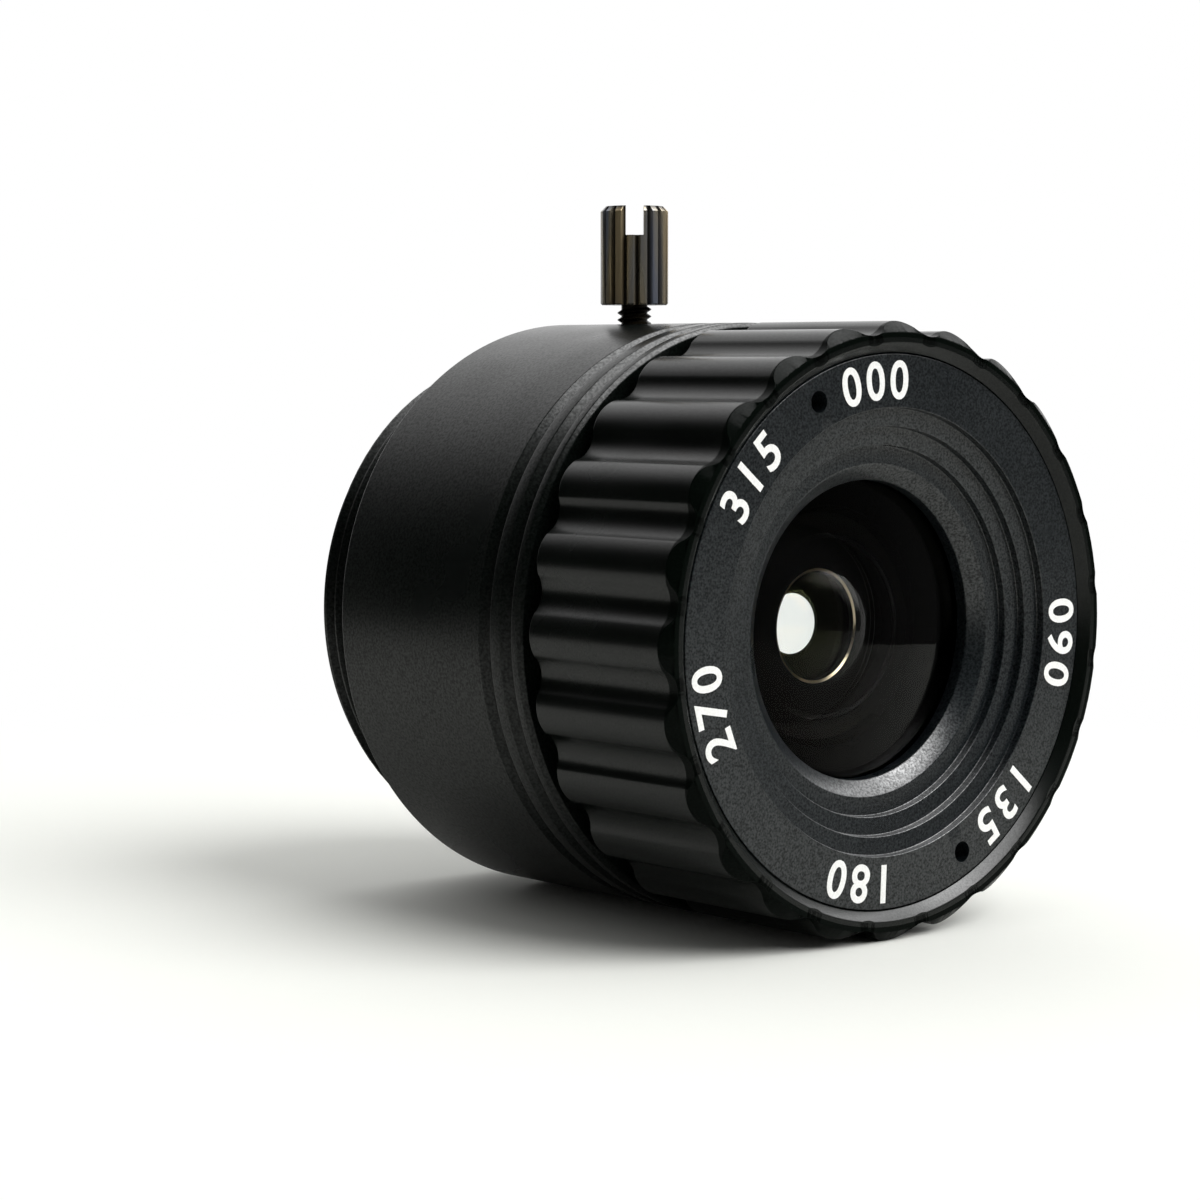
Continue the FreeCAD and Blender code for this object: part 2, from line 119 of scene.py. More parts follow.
def mix_node(tree, share, first, second):
    """A Mix Shader of two shaders' sockets; gives its output socket."""
    node = add_node(tree, "ShaderNodeMixShader")
    for place, socket in enumerate((share, first, second)):
        tree.links.new(socket, node.inputs[place])
    return node.outputs[0]


def white_background(tree, strength):
    """A white Background shader with its strength from a socket or a number."""
    node = add_node(tree, "ShaderNodeBackground")
    node.inputs["Color"].default_value = (1, 1, 1, 1)
    if isinstance(strength, (int, float)):
        node.inputs["Strength"].default_value = strength
    else:
        tree.links.new(strength, node.inputs["Strength"])
    return node.outputs[0]


world = bpy.data.worlds.new("studio")
bpy.context.scene.world = world
world.use_nodes = True
tree = world.node_tree
tree.nodes.clear()
direction = add_node(tree, "ShaderNodeTexCoord").outputs["Generated"]
rays = add_node(tree, "ShaderNodeLightPath")
level = ROOM_LEVEL
for toward, start, full, strength in GLOWS:
    cosine = cosine_node(tree, direction, toward)
    glow = range_node(tree, cosine, (start, full), (0, strength), "SMOOTHSTEP")
    level = math_node(tree, "ADD", level, glow)
short_of_full = math_node(tree, "SUBTRACT", cosine_node(tree, direction, FILL_FROM), 1)
power = math_node(tree, "MULTIPLY", short_of_full, FILL_FOCUS)
fill = math_node(tree, "MULTIPLY", math_node(tree, "EXPONENT", power, 0), FILL_LEVEL)
mirrored = math_node(tree, "MAXIMUM", rays.outputs["Is Glossy Ray"], rays.outputs["Is Transmission Ray"])
around_lens = mix_node(tree, mirrored, white_background(tree, fill), white_background(tree, level))
behind = math_node(tree, "GREATER_THAN", cosine_node(tree, direction, CAMERA_AIM), BACKDROP_LIMIT)
through = math_node(tree, "MULTIPLY", rays.outputs["Is Transmission Ray"], behind)
through = math_node(tree, "MAXIMUM", rays.outputs["Is Camera Ray"], through)
seen = mix_node(tree, through, around_lens, white_background(tree, 1))
tree.links.new(seen, add_node(tree, "ShaderNodeOutputWorld").inputs[0])

bpy.ops.object.light_add(type="AREA", location=Vector(LAMP_PLACE) * MM)
lamp = bpy.context.object
lamp.name = "front_lamp"
lamp.data.shape = "DISK"
lamp.data.size = LAMP_WIDTH * MM
lamp.data.energy = LAMP_POWER
lamp.rotation_euler = (Vector(LAMP_AIM) - Vector(LAMP_PLACE)).to_track_quat("-Z", "Y").to_euler()
lamp.visible_glossy = False
lamp.visible_transmission = False

# The cloth that it lies on: plain and pale, turned square to the camera. Round the lens it holds the
# shadow, further out it is as white as the backdrop, and it is dimmer in the black parts' gloss.
CLOTH_COLOUR = (0.93, 0.94, 0.89)
CLOTH_ROUGHNESS = 0.9
CLOTH_Z = -14.4
CLOTH_SIZE = 254
CLOTH_TURN = math.radians(-31)
CLOTH_WEAVE = 1400
WEAVE_DEPTH = 0.1
WEAVE_BUMP = 0.15
CLOTH_DIMMING = 0.36
FADE_START = 36
FADE_END = 80


def new_material(name):
    """A material with its node tree, its Principled shader and its Object coordinates."""
    material = bpy.data.materials.new(name)
    material.use_nodes = True
    tree = material.node_tree
    place = add_node(tree, "ShaderNodeTexCoord").outputs["Object"]
    return material, tree, tree.nodes["Principled BSDF"], place


def noise_node(tree, place, scale, detail=2):
    """A Noise Texture at a place socket; gives the noise's socket."""
    node = add_node(tree, "ShaderNodeTexNoise")
    node.inputs["Scale"].default_value = scale
    node.inputs["Detail"].default_value = detail
    tree.links.new(place, node.inputs["Vector"])
    return node.outputs[0]


def length_node(tree, vector):
    """The length of the vector in a socket."""
    node = add_node(tree, "ShaderNodeVectorMath", operation="LENGTH")
    tree.links.new(vector, node.inputs[0])
    return node.outputs["Value"]


def roughen(tree, shader, height, depth, strength):
    """Bumps a shader's surface by the height in a socket, over a depth in mm."""
    bump = add_node(tree, "ShaderNodeBump")
    bump.inputs["Strength"].default_value = strength
    bump.inputs["Distance"].default_value = depth * MM
    tree.links.new(height, bump.inputs["Height"])
    tree.links.new(bump.outputs[0], shader.inputs["Normal"])


bpy.ops.mesh.primitive_plane_add(size=CLOTH_SIZE * MM, location=(0, 0, CLOTH_Z * MM),
                                 rotation=(0, 0, CLOTH_TURN))
floor = bpy.context.object
floor.name = "floor"
pale_cloth, tree, shader, place = new_material("pale_cloth")
floor.data.materials.append(pale_cloth)
shader.inputs["Base Color"].default_value = (*CLOTH_COLOUR, 1)
shader.inputs["Roughness"].default_value = CLOTH_ROUGHNESS
roughen(tree, shader, noise_node(tree, place, CLOTH_WEAVE), WEAVE_DEPTH, WEAVE_BUMP)
rays = add_node(tree, "ShaderNodeLightPath")
dimming = math_node(tree, "MULTIPLY", rays.outputs["Is Glossy Ray"], CLOTH_DIMMING)
dimmed = add_node(tree, "ShaderNodeMixShader")
tree.links.new(dimming, dimmed.inputs[0])
tree.links.new(shader.outputs[0], dimmed.inputs[1])
fade = range_node(tree, length_node(tree, place), (FADE_START * MM, FADE_END * MM), (0, 1), "SMOOTHSTEP")
through = math_node(tree, "MAXIMUM", rays.outputs["Is Camera Ray"], rays.outputs["Is Transmission Ray"])
glow = add_node(tree, "ShaderNodeEmission")
mixed = mix_node(tree, math_node(tree, "MULTIPLY", fade, through), dimmed.outputs[0], glow.outputs[0])
tree.links.new(mixed, tree.nodes["Material Output"].inputs[0])

# The main barrel: one aluminium turning with two V-grooves behind its nose, a plain sleeve, the seat
# and the threaded boss, bead blasted and anodised black. The lock screw's hole goes through its top.
BARREL_RADIUS = 14.4
NOSE_Y = -14.1
NOSE_CHAMFER = 0.2
GROOVE_DEPTH = 0.41
GROOVE_STARTS = (-13.48, -11.92)
SLEEVE_CHAMFER = 0.25
THREAD_RADIUS = 12.7
THREAD_END_Y = 4.35
THREAD_PITCH = 25.4 / 32
THREAD_DEPTH = 0.43
THREAD_TURNS = 5
THREAD_START = 0.4
THREAD_STEPS = 96
RIDGE_HALF_FOOT = 0.46
RIDGE_HALF_CREST = 0.07
RIDGE_SINK = 0.15
REAR_OPENING_RADIUS = 10.3
REAR_WALL_Y = -1.6
HELICOID_RADIUS = 11.8
SCREW_Y = -5.5
SCREW_HOLE_RADIUS = 0.88
EDGE_BREAK = 0.05
TURNING_STEPS = 256
SMOOTH_ANGLE = math.radians(40)
GRAIN_SPAN = (0.35, 0.65)
GRAIN_DETAIL = 3
GRAIN_BUMP = 0.5
DRIFT_SPAN = (0.3, 0.7)
DRIFT_SCALE = 180
ROUGHNESS_DRIFT = 0.04


def select_only(piece):
    """Leaves one object selected and active."""
    bpy.ops.object.select_all(action="DESELECT")
    piece.select_set(True)
    bpy.context.view_layer.objects.active = piece


def apply_modifier(piece, kind, **settings):
    """Adds a modifier, sets it and applies it."""
    select_only(piece)
    bpy.ops.object.modifier_add(type=kind)
    modifier = piece.modifiers[-1]
    for name, value in settings.items():
        setattr(modifier, name, value)
    bpy.ops.object.modifier_apply(modifier=modifier.name)


def shade(piece):
    """Smooth shading with crisp edges, and flats that stay flat beside a rounded edge."""
    select_only(piece)
    bpy.ops.object.shade_smooth_by_angle(angle=SMOOTH_ANGLE)
    apply_modifier(piece, "WEIGHTED_NORMAL", keep_sharp=True, weight=80)


def wire_outline(name, points, closed=True):
    """A wire through (radius, y) points in mm, in the plane where x is the radius."""
    bpy.ops.object.select_all(action="DESELECT")
    bpy.ops.mesh.primitive_circle_add(vertices=len(points), fill_type="NOTHING")
    piece = bpy.context.object
    piece.name = name
    for vertex, (radius, y) in zip(piece.data.vertices, points):
        vertex.co = Vector((radius, y, 0)) * MM
    if not closed:
        last = len(points) - 1
        bpy.ops.object.mode_set(mode="EDIT")
        bpy.ops.mesh.select_mode(type="EDGE")
        bpy.ops.mesh.select_all(action="DESELECT")
        bpy.ops.object.mode_set(mode="OBJECT")
        for edge in piece.data.edges:
            edge.select = set(edge.vertices) == {0, last}
        bpy.ops.object.mode_set(mode="EDIT")
        bpy.ops.mesh.delete(type="EDGE")
        bpy.ops.object.mode_set(mode="OBJECT")
    return piece


def turned(name, points, edge_break=EDGE_BREAK, closed=True, steps=TURNING_STEPS):
    """A piece turned about the optical axis from its half section, with its corners broken."""
    piece = wire_outline(name, points, closed)
    bpy.ops.object.mode_set(mode="EDIT")
    bpy.ops.mesh.select_mode(type="VERT")
    bpy.ops.mesh.select_all(action="SELECT")
    if edge_break:
        bpy.ops.mesh.bevel(offset=edge_break * MM, segments=3, affect="VERTICES", clamp_overlap=True)
        bpy.ops.mesh.select_all(action="SELECT")
    bpy.ops.mesh.spin(steps=steps, angle=math.tau, center=(0, 0, 0), axis=(0, 1, 0))
    bpy.ops.mesh.select_all(action="SELECT")
    bpy.ops.mesh.remove_doubles(threshold=1e-6)
    bpy.ops.mesh.normals_make_consistent(inside=False)
    bpy.ops.object.mode_set(mode="OBJECT")
    return piece


def cut(piece, tool):
    """Cuts a tool out of a piece and deletes the tool."""
    apply_modifier(piece, "BOOLEAN", operation="DIFFERENCE", solver="EXACT", object=tool)
    bpy.data.objects.remove(tool)


def helical_ridge(name, root_radius, depth, pitch, turns, start, steps):
    """A V-thread's ridge as a helix about the Z axis, from start upwards; its foot is sunk in the shank."""
    half_foot = RIDGE_HALF_FOOT * pitch
    half_crest = RIDGE_HALF_CREST * pitch
    sunk = root_radius - RIDGE_SINK * depth
    crest = root_radius + depth
    ridge = wire_outline(name, [(sunk, -half_foot), (crest, -half_crest), (crest, half_crest),
                                (sunk, half_foot)])
    for vertex in ridge.data.vertices:
        vertex.co = (vertex.co.x, 0, vertex.co.y + start * MM)
    apply_modifier(ridge, "SCREW", axis="Z", angle=math.tau, screw_offset=pitch * MM, iterations=turns,
                   steps=steps, render_steps=steps, use_merge_vertices=False)
    bpy.ops.object.mode_set(mode="EDIT")
    bpy.ops.mesh.select_mode(type="EDGE")
    bpy.ops.mesh.select_all(action="DESELECT")
    bpy.ops.mesh.select_non_manifold()
    bpy.ops.mesh.edge_face_add()
    bpy.ops.mesh.select_all(action="SELECT")
    bpy.ops.mesh.normals_make_consistent(inside=False)
    bpy.ops.object.mode_set(mode="OBJECT")
    return ridge


def ramp_node(tree, factor, stops):
    """A Color Ramp through (place, colour) stops; gives its colour socket."""
    node = add_node(tree, "ShaderNodeValToRGB")
    while len(node.color_ramp.elements) < len(stops):
        node.color_ramp.elements.new(0.5)
    for element, (place, colour) in zip(node.color_ramp.elements, stops):
        element.position = place
        element.color = (*colour, 1)
    tree.links.new(factor, node.inputs[0])
    return node.outputs[0]


def varied(values, share):
    """The values less a share of each, and the values with that share added."""
    return [value * (1 - share) for value in values], [value * (1 + share) for value in values]


def grained(name, colour, roughness, grain, grain_depth, speckle, sheen=0.5):
    """A finish with a fine grain, as of anodised metal: a speckled base, small bumps and uneven gloss."""
    material, tree, shader, place = new_material(name)
    fine = noise_node(tree, place, grain, GRAIN_DETAIL)
    tint = ramp_node(tree, fine, list(zip(GRAIN_SPAN, varied(colour, speckle))))
    tree.links.new(tint, shader.inputs["Base Color"])
    sparkle = range_node(tree, fine, GRAIN_SPAN, (sheen * (1 - speckle), sheen * (1 + speckle)))
    tree.links.new(sparkle, shader.inputs["Specular IOR Level"])
    broad = noise_node(tree, place, DRIFT_SCALE)
    spread = range_node(tree, broad, DRIFT_SPAN, (roughness - ROUGHNESS_DRIFT, roughness + ROUGHNESS_DRIFT))
    tree.links.new(spread, shader.inputs["Roughness"])
    roughen(tree, shader, fine, grain_depth, GRAIN_BUMP)
    return material


def dress(piece, material, body, slot, *nodes):
    """Gives a finished piece its material and its body, and hides the CAD nodes that it stands for; slot is
    not used.
    """
    piece.data.materials.clear()
    piece.data.materials.append(material)
    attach(piece, body)
    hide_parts(*nodes)


section = [(HELICOID_RADIUS, NOSE_Y), (BARREL_RADIUS - NOSE_CHAMFER, NOSE_Y)]
section.append((BARREL_RADIUS, NOSE_Y + NOSE_CHAMFER))
for start in GROOVE_STARTS:
    section.append((BARREL_RADIUS, start))
    section.append((BARREL_RADIUS - GROOVE_DEPTH, start + GROOVE_DEPTH))
    section.append((BARREL_RADIUS, start + 2 * GROOVE_DEPTH))
section.append((BARREL_RADIUS, -SLEEVE_CHAMFER))
section.append((BARREL_RADIUS - SLEEVE_CHAMFER, 0))
section.append((THREAD_RADIUS - THREAD_DEPTH, 0))
section.append((THREAD_RADIUS - THREAD_DEPTH, THREAD_END_Y))
section.append((REAR_OPENING_RADIUS, THREAD_END_Y))
section.append((REAR_OPENING_RADIUS, REAR_WALL_Y))
section.append((HELICOID_RADIUS, REAR_WALL_Y))
barrel = turned("barrel_body", section)
bpy.ops.mesh.primitive_cylinder_add(vertices=64, radius=SCREW_HOLE_RADIUS * MM, depth=BARREL_RADIUS * MM,
                                    location=Vector((0, SCREW_Y, BARREL_RADIUS)) * MM)
cut(barrel, bpy.context.object)
mount_thread = helical_ridge("mount_thread", THREAD_RADIUS - THREAD_DEPTH, THREAD_DEPTH, THREAD_PITCH,
                             THREAD_TURNS, THREAD_START - THREAD_END_Y, THREAD_STEPS)
mount_thread.data.transform(Matrix.Rotation(math.radians(90), 4, "X"))
barrel_black = grained("barrel_black", (0.0024, 0.0036, 0.0030), roughness=0.30, grain=8000,
                       grain_depth=0.008, speckle=0.4, sheen=0.29)
dress(barrel, barrel_black, "barrel", "barrel_black", "main_barrel")
shade(barrel)
dress(mount_thread, barrel_black, "barrel", "barrel_black")
shade(mount_thread)

# The focus ring: a grip turned and fluted from one aluminium ring. 24 round flutes leave crowned lands,
# and a 45 degree chamfer, duller than the rest, cuts each land's front into a half moon beside the lip.
RING_REAR_Y = -14.7
LIP_Y = -24.16
CELL_FRONT_Y = -22.1
RING_BORE_RADIUS = 12.24
FLUTE_COUNT = 24
FLUTE_START = 8.0
FLUTE_HALF_ANGLE = 3.5
FLUTE_BOTTOM_RADIUS = 13.8
LAND_EDGE_RADIUS = 14.15
LIP_RADIUS = 13.89
RECESS_RADIUS = 12.94
LIP_BEVEL = 0.45
REAR_BREAK = 0.1
GRIP_EDGE_BREAK = 0.045
LIP_MARGIN = 0.02
RECESS_START = 0.1
STEPS_PER_FLUTE = 44
CHAMFER_GLOSS = 0.12
CHAMFER_BACK = 0.03
CHAMFER_INSIDE = 0.25


def arc_through(middle, edge, half_angle):
    """Centre distance and radius of the arc that is middle mm out at 0 and edge mm out at half_angle."""
    half = edge * math.sin(half_angle)
    rise = edge * math.cos(half_angle) - middle
    radius = (half ** 2 + rise ** 2) / (2 * abs(rise))
    return (middle + radius, radius) if rise > 0 else (middle - radius, radius)


FLUTE_PITCH = math.tau / FLUTE_COUNT
FLUTE_HALF = math.radians(FLUTE_HALF_ANGLE)
FLUTE_ARC = arc_through(FLUTE_BOTTOM_RADIUS, LAND_EDGE_RADIUS, FLUTE_HALF)
LAND_ARC = arc_through(BARREL_RADIUS, LAND_EDGE_RADIUS, FLUTE_PITCH / 2 - FLUTE_HALF)


def fluted_radius(angle):
    """How far out the grip's surface is, at an angle clockwise from the top seen from the front."""
    from_flute = (angle - math.radians(FLUTE_START) + FLUTE_PITCH / 2) % FLUTE_PITCH - FLUTE_PITCH / 2
    if abs(from_flute) < FLUTE_HALF:
        centre, radius = FLUTE_ARC
        across = centre * math.sin(from_flute)
        return centre * math.cos(from_flute) - math.sqrt(radius ** 2 - across ** 2)
    from_land = FLUTE_PITCH / 2 - abs(from_flute)
    centre, radius = LAND_ARC
    across = centre * math.sin(from_land)
    return centre * math.cos(from_land) + math.sqrt(radius ** 2 - across ** 2)


chamfer = BARREL_RADIUS - LIP_RADIUS
section = [(RECESS_RADIUS + LIP_BEVEL, LIP_Y), (LIP_RADIUS, LIP_Y)]
section.append((BARREL_RADIUS, LIP_Y + chamfer))
section.append((BARREL_RADIUS, RING_REAR_Y - REAR_BREAK))
section.append((BARREL_RADIUS - REAR_BREAK, RING_REAR_Y))
section.append((RING_BORE_RADIUS, RING_REAR_Y))
section.append((RING_BORE_RADIUS, CELL_FRONT_Y))
section.append((RECESS_RADIUS, CELL_FRONT_Y))
section.append((RECESS_RADIUS, LIP_Y + LIP_BEVEL))
grip = turned("fluted_grip", section, GRIP_EDGE_BREAK, steps=FLUTE_COUNT * STEPS_PER_FLUTE)
outer = (LIP_RADIUS + LIP_MARGIN) * MM
lip = LIP_Y * MM
for vertex in grip.data.vertices:
    x, y, z = vertex.co
    out = math.hypot(x, z)
    if out < outer and y > lip + RECESS_START * MM:
        continue
    surface = fluted_radius(math.atan2(x, z)) * MM
    drop = BARREL_RADIUS * MM - surface
    if out >= outer:
        lower = out - drop
        if y < lip + 2 * chamfer * MM:
            y = max(lip, y - drop)
    else:
        lower = min(out, surface - LIP_MARGIN * MM)
    vertex.co = (x * lower / out, y, z * lower / out)
grip_black = grained("grip_black", (0.0014, 0.0025, 0.0018), roughness=0.25, grain=12000,
                     grain_depth=0.005, speckle=0.2, sheen=0.36)
tree = grip_black.node_tree
gloss = tree.nodes["Principled BSDF"].inputs["Specular IOR Level"]
place = add_node(tree, "ShaderNodeTexCoord").outputs["Object"]
split = add_node(tree, "ShaderNodeSeparateXYZ")
tree.links.new(place, split.inputs[0])
across = add_node(tree, "ShaderNodeVectorMath", operation="MULTIPLY")
tree.links.new(place, across.inputs[0])
across.inputs[1].default_value = (1, 0, 1)
out = length_node(tree, across.outputs[0])
front = math_node(tree, "LESS_THAN", split.outputs["Y"], (LIP_Y + chamfer + CHAMFER_BACK) * MM)
outside = math_node(tree, "GREATER_THAN", out, (LIP_RADIUS - CHAMFER_INSIDE) * MM)
dulled = math_node(tree, "MULTIPLY", math_node(tree, "MULTIPLY", front, outside), 1 - CHAMFER_GLOSS)
kept = math_node(tree, "SUBTRACT", 1, dulled)
tree.links.new(math_node(tree, "MULTIPLY", gloss.links[0].from_socket, kept), gloss)
dress(grip, grip_black, "focus_group", "grip_black", "focus_ring")
shade(grip)

# The name ring: an anodised front ring with a flat dial, three steps down to a satin bevel round the
# glass, and two small blind holes for the spanner that screws it home.
FACE_Y = -23.75
FACE_RADIUS = 12.9
FACE_INNER_RADIUS = 10.41
STEP_COUNT = 3
STEP_WIDTH = 0.875
STEP_WALL = 0.42
STEP_FALL = 0.03
APERTURE_RADIUS = 7.03
APERTURE_Y = -21.85
SKIRT_RADIUS = 11.4
SKIRT_END_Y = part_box("name_ring")[1].y / MM
GLASS_POCKET = 0.8
FLANGE_Y = SKIRT_END_Y - GLASS_POCKET
GLASS_RADIUS = 8.5
FIT = 0.04
SPANNER_CIRCLE = 11.75
SPANNER_HOLE_RADIUS = 0.5
SPANNER_HOLE_DEPTH = 1
SPANNER_ANGLES = (155.8, 335.8)


def around(radius, degrees, y):
    """A point in mm on a circle about the optical axis, clockwise from the top seen from the front."""
    angle = math.radians(degrees)
    return Vector((radius * math.sin(angle), y, radius * math.cos(angle)))


section = [(SKIRT_RADIUS, SKIRT_END_Y), (SKIRT_RADIUS, CELL_FRONT_Y)]
section.append((FACE_RADIUS, CELL_FRONT_Y))
section.append((FACE_RADIUS, FACE_Y))
radius = FACE_INNER_RADIUS
y = FACE_Y
for step in range(STEP_COUNT):
    section.append((radius, y))
    section.append((radius, y + STEP_WALL))
    radius -= STEP_WIDTH
    y += STEP_WALL + STEP_FALL
section.append((radius, y - STEP_FALL))
section.append((APERTURE_RADIUS, APERTURE_Y))
section.append((APERTURE_RADIUS, FLANGE_Y))
section.append((GLASS_RADIUS + FIT, FLANGE_Y))
section.append((GLASS_RADIUS + FIT, SKIRT_END_Y))
dial = turned("dial_ring", section)
for degrees in SPANNER_ANGLES:
    bpy.ops.mesh.primitive_cylinder_add(vertices=48, radius=SPANNER_HOLE_RADIUS * MM,
                                        depth=2 * SPANNER_HOLE_DEPTH * MM,
                                        location=around(SPANNER_CIRCLE, degrees, FACE_Y) * MM,
                                        rotation=(math.radians(90), 0, 0))
    cut(dial, bpy.context.object)
dial_black = grained("dial_black", (0.0050, 0.0070, 0.0082), roughness=0.30, grain=9000,
                     grain_depth=0.010, speckle=0.5, sheen=0.72)
dress(dial, dial_black, "focus_group", "dial_black", "name_ring")
shade(dial)

# The dial's numerals: plain white figures, cut into the ring and filled with paint, that run round it with
# their tops outward.
NUMERALS = (("000", 354.0), ("090", 95.5), ("135", 138.0), ("180", 190.0), ("270", 255.5), ("315", 309.5))
NUMERAL_RADIUS = 10.85
NUMERAL_HEIGHT = 1.75
NUMERAL_WEIGHT = 0.018
NUMERAL_STEP = 7.6
NUMERAL_SMOOTHNESS = 6
PAINT_PROUD = 0.012


def figure(letter, degrees):
    """One painted figure on the dial, its foot at a place clockwise from the top."""
    bpy.ops.object.select_all(action="DESELECT")
    bpy.ops.object.text_add()
    glyph = bpy.context.object
    glyph.data.body = letter
    glyph.data.align_x = "CENTER"
    glyph.data.offset = NUMERAL_WEIGHT
    glyph.data.resolution_u = NUMERAL_SMOOTHNESS
    glyph.data.extrude = PAINT_PROUD
    bpy.ops.object.convert(target="MESH")
    glyph = bpy.context.object
    scale = NUMERAL_HEIGHT / max(vertex.co.y for vertex in glyph.data.vertices)
    outward = around(1, degrees, 0)
    along = around(1, degrees + 90, 0)
    foot = around(NUMERAL_RADIUS, degrees, FACE_Y)
    for vertex in glyph.data.vertices:
        across, height, depth = vertex.co
        proud = math.copysign(PAINT_PROUD, depth)
        vertex.co = (foot + (along * across + outward * height) * scale - Vector((0, proud, 0))) * MM
    return glyph


glyphs = []
for figures, degrees in NUMERALS:
    for place, letter in enumerate(figures):
        turn = NUMERAL_STEP * (place - (len(figures) - 1) / 2)
        glyphs.append(figure(letter, degrees + turn))
select_only(glyphs[0])
for glyph in glyphs:
    glyph.select_set(True)
bpy.ops.object.join()
numerals = bpy.context.object
numerals.name = "dial_numerals"
bpy.ops.object.mode_set(mode="EDIT")
bpy.ops.mesh.select_all(action="SELECT")
bpy.ops.mesh.normals_make_consistent(inside=False)
bpy.ops.object.mode_set(mode="OBJECT")
paint_white = grained("paint_white", (0.88, 0.88, 0.86), roughness=0.5, grain=9000,
                      grain_depth=0.004, speckle=0.06)
dress(numerals, paint_white, "focus_group", "dial_black")

# The lens cell: a thin-walled tube, turned and anodised dead black against stray light, that holds the
# front glass on a ledge, whose edge is cut bare, and the rest of the glass in its bore.
CELL_SEAT_RADIUS = 12.2
CELL_THREAD_RADIUS = 11.72
CELL_REAR_RADIUS = 9.2
CELL_SHOULDER_Y = -2.6
CELL_END_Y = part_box("lens_cell")[1].y / MM
DAMPER_FRONT_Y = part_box("damping_ring")[0].y / MM
DAMPER_REAR_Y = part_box("damping_ring")[1].y / MM
DAMPER_GROOVE_RADIUS = 10.92
POCKET_DEPTH = 0.2
LEDGE_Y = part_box("front_element")[1].y / MM
LEDGE_RADIUS = 3.1
LEDGE_THICKNESS = 0.6
LEDGE_CHAMFER = 0.12
LEDGE_SKIN = 0.01
STACK_RADIUS = 6.44
CELL_EDGE_BREAK = 0.02

section = [(SKIRT_RADIUS + FIT, CELL_FRONT_Y), (CELL_SEAT_RADIUS, CELL_FRONT_Y)]
section.append((CELL_SEAT_RADIUS, RING_REAR_Y))
section.append((CELL_THREAD_RADIUS, RING_REAR_Y))
section.append((CELL_THREAD_RADIUS, DAMPER_FRONT_Y))
section.append((DAMPER_GROOVE_RADIUS, DAMPER_FRONT_Y))
section.append((DAMPER_GROOVE_RADIUS, DAMPER_REAR_Y))
section.append((CELL_THREAD_RADIUS, DAMPER_REAR_Y))
section.append((CELL_THREAD_RADIUS, CELL_SHOULDER_Y))
section.append((CELL_REAR_RADIUS, CELL_SHOULDER_Y))
section.append((CELL_REAR_RADIUS, CELL_END_Y))
section.append((STACK_RADIUS, CELL_END_Y))
section.append((STACK_RADIUS, LEDGE_Y + LEDGE_THICKNESS))
section.append((LEDGE_RADIUS, LEDGE_Y + LEDGE_THICKNESS))
section.append((LEDGE_RADIUS, LEDGE_Y + LEDGE_CHAMFER))
section.append((LEDGE_RADIUS + LEDGE_CHAMFER, LEDGE_Y))
section.append((GLASS_RADIUS + FIT, LEDGE_Y))
section.append((GLASS_RADIUS + FIT, SKIRT_END_Y + POCKET_DEPTH))
section.append((SKIRT_RADIUS + FIT, SKIRT_END_Y + POCKET_DEPTH))
cell = turned("cell_tube", section, CELL_EDGE_BREAK)
cell_black = grained("cell_black", (0.0012, 0.0012, 0.0012), roughness=0.55, grain=9000,
                     grain_depth=0.01, speckle=0.2, sheen=0.06)
dress(cell, cell_black, "focus_group", "cell_black", "lens_cell")
shade(cell)
section = [(LEDGE_RADIUS, LEDGE_Y + LEDGE_CHAMFER), (LEDGE_RADIUS + LEDGE_CHAMFER, LEDGE_Y)]
section.append((LEDGE_RADIUS + LEDGE_CHAMFER, LEDGE_Y - LEDGE_SKIN))
section.append((LEDGE_RADIUS - LEDGE_SKIN, LEDGE_Y + LEDGE_CHAMFER))
bright_edge = turned("ledge_edge", section, 0)
edge_metal = grained("edge_metal", (0.55, 0.47, 0.33), roughness=0.3, grain=9000,
                     grain_depth=0.002, speckle=0.1)
edge_metal.node_tree.nodes["Principled BSDF"].inputs["Metallic"].default_value = 1
dress(bright_edge, edge_metal, "focus_group", "cell_black")
shade(bright_edge)

# The glass: a large front meniscus, four lenses and a cemented pair behind it, each ground, polished and
# coated against reflections, so that what they still reflect is faintly brown, green or violet.
FRONT_BULGE = 0.91
FRONT_HOLLOW = 2.9
FRONT_HOLLOW_RADIUS = 5.5
INNER_OPENING = 4.8
INNER_GLASS = (
    ("second_glass", ("second_element",), -0.1, -1.0, (0.10, 0.12, 0.03)),
    ("third_glass", ("third_element",), 0.85, -0.15, (0.55, 0.30, 0.08)),
    ("fourth_glass", ("fourth_element",), 1.35, 0.5, (0.10, 0.15, 0.06)),
    ("cemented_pair", ("doublet_flint", "doublet_crown"), 0.6, 0.4, (0.08, 0.09, 0.16)),
    ("rear_glass", ("rear_element",), 0.1, 0.1, (0.10, 0.13, 0.22)),
)
DOME_STEPS = 28
GLASS_TINT = (0.98, 0.985, 0.975)
GLASS_INDEX = 1.5
COATING_SCALE = 60
COATING_DRIFT = 0.15


def dome(opening, bulge, rim_y, outward):
    """Points from the rim to the axis of a ball face; bulge is negative where it is hollow."""
    ball = (opening ** 2 + bulge ** 2) / (2 * abs(bulge))
    sign = math.copysign(1, bulge) * outward
    points = []
    for step in range(DOME_STEPS + 1):
        reach = opening * (1 - step / DOME_STEPS)
        rise = math.sqrt(ball ** 2 - reach ** 2) - (ball - abs(bulge))
        points.append((reach, rim_y + sign * rise))
    return points


